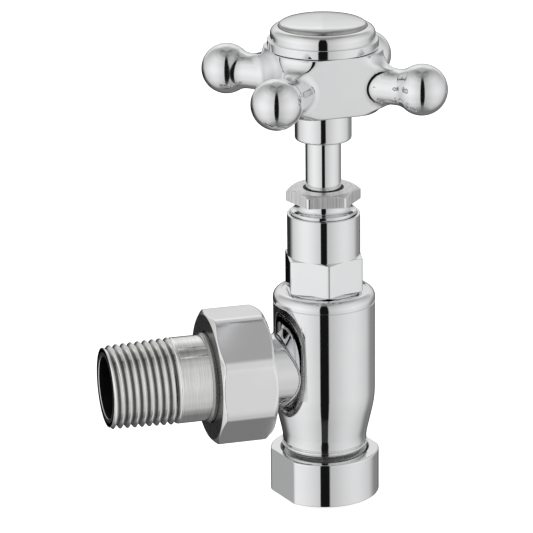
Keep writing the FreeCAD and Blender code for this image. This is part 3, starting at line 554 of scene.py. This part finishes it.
bonnet = {"flats": (6, 9.0), "corner": 10.392, "cornerAngle": 21.1, "softness": 0.18, "hexCore": 5.41,
          "seat": 52.4, "footRadius": 8.85, "footBevel": 0.85, "hexTop": 61.8, "hexTopRadius": 8.85,
          "topBevel": 0.413, "bottom": 45.8, "plug": 8.8, "plugTop": 52.6, "sleeve": 8.95,
          "sleeveStart": 60.8, "top": 72.2, "mouth": 8.31, "mouthBottom": 70.7, "glandHole": 6.95,
          "packing": 6.4, "packingTop": 63.6, "packingBottom": 60.0, "spindle": 4.41, "stop": 57.0,
          "screw": 5.55, "threadBevel": 0.5}


def makeBonnet(b):
    hexagon = roundedProfile([
        (b["hexCore"], b["seat"]), (b["footRadius"], b["seat"]),
        (b["corner"], b["seat"] + b["footBevel"], .15), (b["corner"], b["hexTop"] - b["topBevel"], .12),
        (b["hexTopRadius"], b["hexTop"]), (b["hexCore"], b["hexTop"])], step=0.35)
    mesh = nutMesh("bonnet_hexagon", hexagon, b["flats"], b["cornerAngle"], b["softness"])
    addPiece("bonnet_hexagon", mesh, "body", handBuffed, ["bonnet"])
    sleeve = roundedProfile([
        (b["screw"] + b["threadBevel"], b["bottom"]), (b["plug"], b["bottom"], .3),
        (b["plug"], b["plugTop"]), (b["plug"], b["sleeveStart"]), (b["sleeve"], b["sleeveStart"]),
        (b["sleeve"], b["top"], .22),
        (b["mouth"], b["top"], .15), (b["mouth"], b["mouthBottom"]),
        (b["glandHole"], b["mouthBottom"], .1), (b["glandHole"], b["packingTop"]),
        (b["packing"], b["packingTop"]), (b["packing"], b["packingBottom"]),
        (b["spindle"], b["packingBottom"]), (b["spindle"], b["stop"]), (b["screw"], b["stop"]),
        (b["screw"], b["bottom"] + b["threadBevel"])])
    mesh = turnedMesh("bonnet_sleeve", sleeve)
    addPiece("bonnet_sleeve", mesh, "body", polishedChrome)


makeBonnet(bonnet)
print("bonnet made")

# Gland nut

glandNut = {"flats": (6, 8.0), "corner": 9.2376, "topRadius": 7.8, "bevelAngle": 28, "cornerAngle": 49.2,
            "softness": 0.1, "hexBottom": 75.45, "hexTop": 78.6, "collar": 8.05, "collarTop": 73.0,
            "collarBottom": 70.8, "neck": 6.6, "neckBottom": 73.35, "flare": 1.35, "nose": 6.9,
            "noseBottom": 64.6, "noseBevel": 0.5, "bore": 4.41, "countersink": 0.6, "cornerWidth": 2.4}


def makeGlandNut(g):
    bevelBottom = g["hexTop"] - (g["corner"] - g["topRadius"]) * math.tan(math.radians(g["bevelAngle"]))
    mouth = g["bore"] + g["countersink"]
    profile = roundedProfile([
        (g["nose"] - g["noseBevel"], g["noseBottom"]), (g["nose"], g["noseBottom"] + g["noseBevel"]),
        (g["nose"], g["collarBottom"]), (g["collar"], g["collarBottom"], .1),
        (g["collar"], g["collarTop"], .15), (g["neck"], g["neckBottom"], g["flare"]),
        (g["neck"], g["hexBottom"], .12), (g["corner"], g["hexBottom"], .1), (g["corner"], bevelBottom, .1),
        (g["topRadius"], g["hexTop"], .12), (mouth, g["hexTop"], .1),
        (g["bore"], g["hexTop"] - g["countersink"], .1), (g["bore"], g["noseBottom"])], step=0.35)
    mesh = nutMesh("gland_nut_shell", profile, g["flats"], g["cornerAngle"], g["softness"])
    addPiece("gland_nut_shell", mesh, "body", brushedChrome, ["gland_nut"])
    # The buff has rubbed the corners and the neck bright, and left the brushed flats
    for material in (polishedChrome, shadedBore, satinChrome):
        mesh.materials.append(material)
    sector = 360 / g["flats"][0]
    for face in mesh.polygons:
        turn = math.degrees(math.atan2(face.center.y, face.center.x)) - g["cornerAngle"]
        fromCorner = abs((turn + sector / 2) % sector - sector / 2)
        upright = abs(face.normal.z) < 0.5
        if upright and fromCorner < g["cornerWidth"]:
            face.material_index = 3
        if face.center.z < g["hexBottom"] * mm:
            face.material_index = 1
        # The mouth round the spindle is painted dark as shade
        if math.hypot(face.center.x, face.center.y) < mouth * mm:
            face.material_index = 2


makeGlandNut(glandNut)
print("gland nut made")

# Surfaces taken over from the CAD model, with their exact normals

def readArray(items, field, width=1, kind=np.float64):
    values = np.zeros(len(items) * width, kind)
    items.foreach_get(field, values)
    return values.reshape(-1, width) if width > 1 else values


def cadSurface(nodeName):
    # Every triangle's corners in millimetres, and the normals there
    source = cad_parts[nodeName].data
    corners = readArray(source.loops, "vertex_index", kind=np.int32)
    places = readArray(source.vertices, "co", 3) / mm
    normals = readArray(source.corner_normals, "vector", 3, np.float32)
    return places[corners].reshape(-1, 3, 3), normals.reshape(-1, 3, 3)


def weldedMesh(name, triangles, normals):
    # Corners at one place become one vertex, and triangles that fall flat go
    weldDigits = 4  # a tenth of a micrometre
    places = np.round(triangles.reshape(-1, 3), weldDigits)
    unique, index = np.unique(places, axis=0, return_inverse=True)
    faces = index.reshape(-1, 3)
    good = (faces[:, 0] != faces[:, 1]) & (faces[:, 1] != faces[:, 2]) & (faces[:, 0] != faces[:, 2])
    mesh = bpy.data.meshes.new(name)
    mesh.from_pydata((unique * mm).tolist(), [], faces[good].tolist())
    mesh.polygons.foreach_set("use_smooth", [True] * len(mesh.polygons))
    return mesh, normals[good].reshape(-1, 3)


# Crosshead handle: the hub's corners are drawn in at the top and the bottom, so that they run into the arms

handle = {"edgeLength": 0.5, "splitRounds": 8, "near": 9.0, "reach": 19.4, "splitTo": 20.0, "fadeTo": 20.5,
          "margin": 0.3, "softness": 0.3,
          "top": {"face": 113.55, "neck": 110.05, "corner": 14.65, "power": 2.2},
          "bottom": {"face": 98.9, "neck": 101.35, "corner": 13.8, "power": 1.4}}


def cornerLimit(h, z):
    # The largest radius at each height: all of the corner's reach between the necks, less at the faces
    noLimit = 60.0
    limit = np.full(len(z), noLimit)
    for end in (h["top"], h["bottom"]):
        share = (z - end["face"]) / (end["neck"] - end["face"])
        inside = share < 1
        kept = np.clip(share[inside], 0, 1) ** end["power"]
        limit[inside] = h["reach"] - (h["reach"] - end["corner"]) * (1 - kept) ** (1 / end["power"])
    return limit


def splitEdges(mesh, h, low, high):
    # Long edges on the hub are halved until the mesh is fine enough to bend
    work = bmesh.new()
    work.from_mesh(mesh)
    for _ in range(h["splitRounds"]):
        long = []
        for edge in work.edges:
            middle = (edge.verts[0].co + edge.verts[1].co) / 2 / mm
            onHub = h["near"] < math.hypot(middle.x, middle.y) < h["splitTo"] and low < middle.z < high
            if onHub and edge.calc_length() > h["edgeLength"] * mm:
                long.append(edge)
        if not long:
            break
        bmesh.ops.subdivide_edges(work, edges=long, cuts=1)
        bmesh.ops.triangulate(work, faces=[f for f in work.faces if len(f.verts) > 3])
    work.to_mesh(mesh)
    work.free()


def makeHandle(h):
    mesh, normals = weldedMesh("crosshead_casting", *cadSurface("crosshead_handle"))
    stored = mesh.attributes.new("cadNormal", "FLOAT_VECTOR", "CORNER")
    stored.data.foreach_set("vector", normals.astype(np.float32).ravel())
    low, high = h["bottom"]["face"] - h["margin"], h["top"]["face"] + h["margin"]
    splitEdges(mesh, h, low, high)
    corners = readArray(mesh.loops, "vertex_index", kind=np.int32)
    normals = readArray(mesh.attributes["cadNormal"].data, "vector", 3, np.float32)
    places = readArray(mesh.vertices, "co", 3) / mm
    away, z = np.hypot(places[:, 0], places[:, 1]), places[:, 2]

    def held(radius, height):
        limit = cornerLimit(h, height)
        soft = -h["softness"] * np.logaddexp(-radius / h["softness"], -limit / h["softness"])
        share = np.clip(h["fadeTo"] - radius, 0, 1)
        onHub = (height > low) & (height < high)
        return np.where(onHub, radius + (soft - radius) * share, radius)

    # The normals turn with the surface: slopes of the held radius against radius and height
    drawn, nudge, least = held(away, z), 1e-3, 1e-3
    byRadius = np.maximum((held(away + nudge, z) - held(away - nudge, z)) / (2 * nudge), least)[corners]
    byHeight = ((held(away, z + nudge) - held(away, z - nudge)) / (2 * nudge))[corners]
    away = np.maximum(away, 1e-6)  # the axis itself has no direction
    out = places[corners][:, :2] / away[corners][:, None]
    around = np.stack([-out[:, 1], out[:, 0]], axis=1)
    outward, sideways = (normals[:, :2] * out).sum(1), (normals[:, :2] * around).sum(1)
    sideways *= byRadius / np.maximum(drawn / away, least)[corners]
    upward = normals[:, 2] * byRadius - byHeight * outward
    turned = np.concatenate([out * outward[:, None] + around * sideways[:, None], upward[:, None]], axis=1)
    length = np.linalg.norm(turned, axis=1)[:, None]
    turned = np.where(length > 1e-4, turned / np.maximum(length, 1e-6), normals)
    places[:, :2] *= (drawn / away)[:, None]
    mesh.vertices.foreach_set("co", (places * mm).ravel())
    mesh.attributes.remove(mesh.attributes["cadNormal"])
    mesh.update()
    mesh.normals_split_custom_set(turned.tolist())
    addPiece("crosshead_casting", mesh, "handle", handBuffed, ["crosshead_handle"])
    print("handle triangles:", len(mesh.polygons))


makeHandle(handle)
print("handle made")

# Valve body: the CAD surface without the two plain thread cylinders, which get real threads

valveBody = {"neckThread": {"start": 5.7414, "end": 12.1, "major": 10.4775, "runOut": 9.97},
             "branchThread": {"start": 16.9, "end": 25.0, "major": 13.2205, "runOut": 12.7205},
             "pitch": 1.814, "depth": 1.16, "run": 0.5, "wall": 1.5, "rowsPerMillimetre": 12,
             "barrel": 12.6, "barrelCore": 9, "branch": 8.86, "saddle": 1.6}


def makeValveBody(v):
    triangles, normals = cadSurface("valve_body")
    x, y, z = (triangles[:, :, k] for k in range(3))
    neck, branch, slack = v["neckThread"], v["branchThread"], 0.01
    away, around = np.hypot(x, y), np.hypot(y, z - branchHeight)
    onNeck = (away > neck["runOut"] - slack) & (away < neck["major"] + slack) & (z < neck["end"] + slack)
    onBranch = (around > branch["runOut"] - slack) & (x < slack - branch["start"])
    kept = ~(onNeck.all(1) | onBranch.all(1))
    mesh, corners = weldedMesh("valve_casting", triangles[kept], normals[kept])
    mesh.normals_split_custom_set(corners.tolist())
    addPiece("valve_casting", mesh, "body", polishedChrome, ["valve_body"])
    mesh.materials.append(saddleChrome)
    for face in mesh.polygons:
        x, y, z = face.center / mm
        onRoot = v["branch"] + 2 * slack < math.hypot(y, z - branchHeight) < v["branch"] + v["saddle"]
        if onRoot and -v["barrel"] < x < 0 and math.hypot(x, y) > v["barrelCore"]:
            face.material_index = 1
    # The threads get the greyer plate: painted shade inside the nuts
    for name, thread, laid in (("neck_thread", neck, Matrix()), ("branch_thread", branch, tailMatrix)):
        length = thread["end"] - thread["start"]
        sizes = {"Length": length, "Pitch": v["pitch"], "Crest Radius": thread["major"],
                 "Depth": v["depth"], "Taper": 0, "First Radius": thread["runOut"],
                 "Last Radius": thread["runOut"], "First Run": v["run"], "Last Run": v["run"],
                 "Inner Radius": thread["runOut"] - v["wall"], "Around": turnedColumns,
                 "Rows": round(length * v["rowsPerMillimetre"])}
        place = laid @ Matrix.Translation((0, 0, thread["start"] * mm))
        addPiece(name, threadMesh(name, sizes, shadedPlate, place), "body", shadedPlate)


makeValveBody(valveBody)
print("valve body made")

# Camera at the photograph's place

cameraPlace = {"azimuth": -16.596, "elevation": 18.160, "roll": -0.279, "distance": 750.0,
               "target": (0, 0, 58.0), "focalPixels": 3060.0, "framePixels": 533.0, "asidePixels": 57.3,
               "downPixels": 0.9, "sensor": 36.0}


def makeCamera(c):
    azimuth, elevation, roll = (math.radians(c[k]) for k in ("azimuth", "elevation", "roll"))
    back = Vector((math.sin(azimuth) * math.cos(elevation),
                   -math.cos(azimuth) * math.cos(elevation), math.sin(elevation)))
    across = Vector((math.cos(azimuth), math.sin(azimuth), 0))
    upwards = back.cross(across)
    right = across * math.cos(roll) + upwards * math.sin(roll)
    up = upwards * math.cos(roll) - across * math.sin(roll)
    place = Vector(c["target"]) + back * c["distance"]
    # The camera looks left of the spindle, so the valve stands right of the middle as in the photograph
    middle = Vector(c["target"]) - right * (c["asidePixels"] / c["focalPixels"] * c["distance"])
    middle += up * (c["downPixels"] / c["focalPixels"] * c["distance"])
    forward = (middle - place).normalized()
    right = (right - forward * right.dot(forward)).normalized()
    up = right.cross(forward)
    data = bpy.data.cameras.new("camera")
    data.sensor_width = c["sensor"]
    data.lens = c["sensor"] * c["focalPixels"] / c["framePixels"]
    data.clip_start, data.clip_end = 0.05, 20.0
    camera = bpy.data.objects.new("camera", data)
    turn = Matrix((right, up, -forward)).transposed().to_4x4()
    camera.matrix_world = Matrix.Translation(place * mm) @ turn
    scene.collection.objects.link(camera)
    scene.camera = camera


makeCamera(cameraPlace)
print("camera placed")

# Studio: a pale floor, and a world with two large soft panels, a lighter strip high behind and a dark
# gap where the camera stands, which is what bright metal needs to show its form. The lists are (degrees
# up, grey), and panels, gap and back are placed in degrees round from the camera

studio = {
    "azimuth": -16.6, "cameraElevation": 18.2,
    "gap": [(-90, 0.20), (-66, 0.16), (-52, 0.05), (-40, 0.008), (48, 0.007), (60, 0.06), (72, 0.22),
            (90, 0.33)],
    "panel": [(-90, 0.20), (-75, 0.36), (-60, 0.68), (-38, 0.86), (0, 1.0), (40, 0.87), (58, 0.68),
              (72, 0.40), (90, 0.33)],
    "behindLeft": [(-90, 0.20), (-60, 0.20), (-35, 0.10), (-18, 0.03), (-6, 0.12), (5, 0.66), (22, 0.86),
                   (38, 0.97), (60, 0.50), (90, 0.33)],
    "behindRight": [(-90, 0.20), (-60, 0.20), (-35, 0.20), (-18, 0.27), (-6, 0.32), (5, 0.64), (22, 0.82),
                    (38, 0.90), (60, 0.50), (90, 0.33)],
    "gapEdges": [(-10.4, -8.4), (12.5, 9.0)], "panelMiddles": (-60.0, 68.0), "panelLevels": (1.03, 0.91),
    "panelFade": 0.52, "panelWidth": 90, "sideSeam": 1, "behindFrom": 108.0, "behindTo": 136.0,
    "behindLean": 0.55, "leanFrom": -18.0, "leanSpan": 50.0,
    "shadowAngle": (10.0, 30.0), "shadowLevel": 0.05,
}


def makeWorld(s):
    world = bpy.data.worlds.new("studio")
    world.use_nodes = True
    scene.world = world
    tree = world.node_tree
    tree.nodes.clear()
    direction = addNode(tree, "ShaderNodeTexCoord").outputs["Generated"]
    turned = addNode(tree, "ShaderNodeVectorRotate", {
        "Vector": direction, "Angle": math.radians(-s["azimuth"])}, rotation_type="Z_AXIS")
    part = addNode(tree, "ShaderNodeSeparateXYZ", {0: turned}).outputs
    tilt = math.radians(s["cameraElevation"])
    away = addNode(tree, "ShaderNodeVectorMath", {0: turned, 1: (0.0, math.cos(tilt), -math.sin(tilt))},
                   operation="DOT_PRODUCT").outputs["Value"]
    made = {"x": part["X"], "y": part["Y"], "z": part["Z"], "away": away}
    # Height runs from 0 straight down to 1 straight up, and the back's edge leans inwards on its way up
    for name, operation, *values in [
            ("minusY", "MULTIPLY", "y", -1.0), ("turn", "ARCTAN2", "x", "minusY"),
            ("azimuth", "DEGREES", "turn"), ("rise", "ARCSINE", "z"), ("elevation", "DEGREES", "rise"),
            ("sideways", "ABSOLUTE", "azimuth"), ("height", "MULTIPLY_ADD", "elevation", 1 / 180, 0.5),
            ("low", "SUBTRACT", "elevation", s["leanFrom"]), ("notUnder", "MAXIMUM", "low", 0.0),
            ("kept", "MINIMUM", "notUnder", s["leanSpan"]), ("lean", "MULTIPLY", "kept", -s["behindLean"]),
            ("leant", "ADD", "sideways", "lean"), ("angle", "ARCCOSINE", "away"),
            ("spread", "DEGREES", "angle"), ("fromLeft", "SUBTRACT", "azimuth", s["panelMiddles"][0]),
            ("leftOff", "ABSOLUTE", "fromLeft"), ("fromRight", "SUBTRACT", "azimuth", s["panelMiddles"][1]),
            ("rightOff", "ABSOLUTE", "fromRight")]:
        sockets = {i: made[v] if isinstance(v, str) else v for i, v in enumerate(values)}
        made[name] = addNode(tree, "ShaderNodeMath", sockets, operation=operation)
    (left, right), seam = s["panelLevels"], s["sideSeam"]
    for name, value, low, high, atLow, atHigh in [
            ("leftGlow", "leftOff", 0, s["panelWidth"], left, left * s["panelFade"]),
            ("rightGlow", "rightOff", 0, s["panelWidth"], right, right * s["panelFade"]),
            ("isRight", "azimuth", -seam, seam, 0, 1),
            ("isBehind", "leant", s["behindFrom"], s["behindTo"], 0, 1),
            ("leftEdge", "azimuth", *s["gapEdges"][0], 0, 1),
            ("rightEdge", "azimuth", *s["gapEdges"][1], 0, 1),
            ("shadow", "spread", *s["shadowAngle"], s["shadowLevel"], 1)]:
        made[name] = addNode(tree, "ShaderNodeMapRange", {
            "Value": made[value], "From Min": low, "From Max": high, "To Min": atLow, "To Max": atHigh},
            interpolation_type="SMOOTHSTEP")
    for name in ("gap", "panel", "behindLeft", "behindRight"):
        ramp = addNode(tree, "ShaderNodeValToRGB", {"Fac": made["height"]})
        ramp.color_ramp.interpolation = "EASE"
        stops = ramp.color_ramp.elements
        last = len(s[name]) - 1
        for k, (degrees, grey) in enumerate(s[name]):
            height = degrees / 180 + 0.5
            stop = stops[0] if k == 0 else stops[-1] if k == last else stops.new(height)
            stop.color = (grey, grey, grey, 1)
        made[name] = ramp
    inGap = addNode(tree, "ShaderNodeMath", {
        0: made["leftEdge"], 1: made["rightEdge"]}, operation="MULTIPLY")
    glow = addNode(tree, "ShaderNodeMix", {0: made["isRight"], 2: made["leftGlow"], 3: made["rightGlow"]})
    lit = addNode(tree, "ShaderNodeMath", {0: made["panel"], 1: glow}, operation="MULTIPLY")
    behind = addNode(tree, "ShaderNodeMix", {
        0: made["isRight"], 2: made["behindLeft"], 3: made["behindRight"]})
    around = addNode(tree, "ShaderNodeMix", {0: made["isBehind"], 2: lit, 3: behind})
    whole = addNode(tree, "ShaderNodeMix", {0: inGap, 2: around, 3: made["gap"]})
    shaded = addNode(tree, "ShaderNodeMath", {0: whole, 1: made["shadow"]}, operation="MULTIPLY")
    # The camera itself sees white behind the valve
    path = addNode(tree, "ShaderNodeLightPath")
    seen = addNode(tree, "ShaderNodeMath", {
        0: shaded, 1: path.outputs["Is Camera Ray"]}, operation="MAXIMUM")
    light = addNode(tree, "ShaderNodeBackground", {"Color": (1, 1, 1, 1), "Strength": seen})
    addNode(tree, "ShaderNodeOutputWorld", {"Surface": light})


# The undone compression nut comes down 4.5 mm, so the floor lies below that. Reach is in metres
floorPlace = {"reach": 6.0, "under": 4.8, "colour": "#F2F2F2", "cameraLift": 0.85}


def makeFloor(f):
    mesh = bpy.data.meshes.new("floor")
    reach, height = f["reach"], -f["under"] * mm
    corners = [(-reach, -reach, height), (reach, -reach, height), (reach, reach, height),
               (-reach, reach, height)]
    mesh.from_pydata(corners, [], [(0, 1, 2, 3)])
    floor = bpy.data.objects.new("floor", mesh)
    scene.collection.objects.link(floor)
    material, tree = newMaterial("pale_studio_floor")
    paint = addNode(tree, "ShaderNodeBsdfDiffuse", {"Color": linearColour(f["colour"])})
    # To the camera alone the floor is lifted to the white of the photograph's background
    path = addNode(tree, "ShaderNodeLightPath")
    lift = addNode(tree, "ShaderNodeMath", {0: path.outputs["Is Camera Ray"], 1: f["cameraLift"]},
                   operation="MULTIPLY")
    glow = addNode(tree, "ShaderNodeEmission", {"Color": (1, 1, 1, 1), "Strength": lift})
    both = addNode(tree, "ShaderNodeAddShader", {0: paint, 1: glow})
    addNode(tree, "ShaderNodeOutputMaterial", {"Surface": both})
    mesh.materials.append(material)
    floor.visible_glossy = False  # the metal sees the studio's lower half, as it does in a light tent


makeWorld(studio)
makeFloor(floorPlace)
scene.view_settings.view_transform = "Standard"
print("studio made")
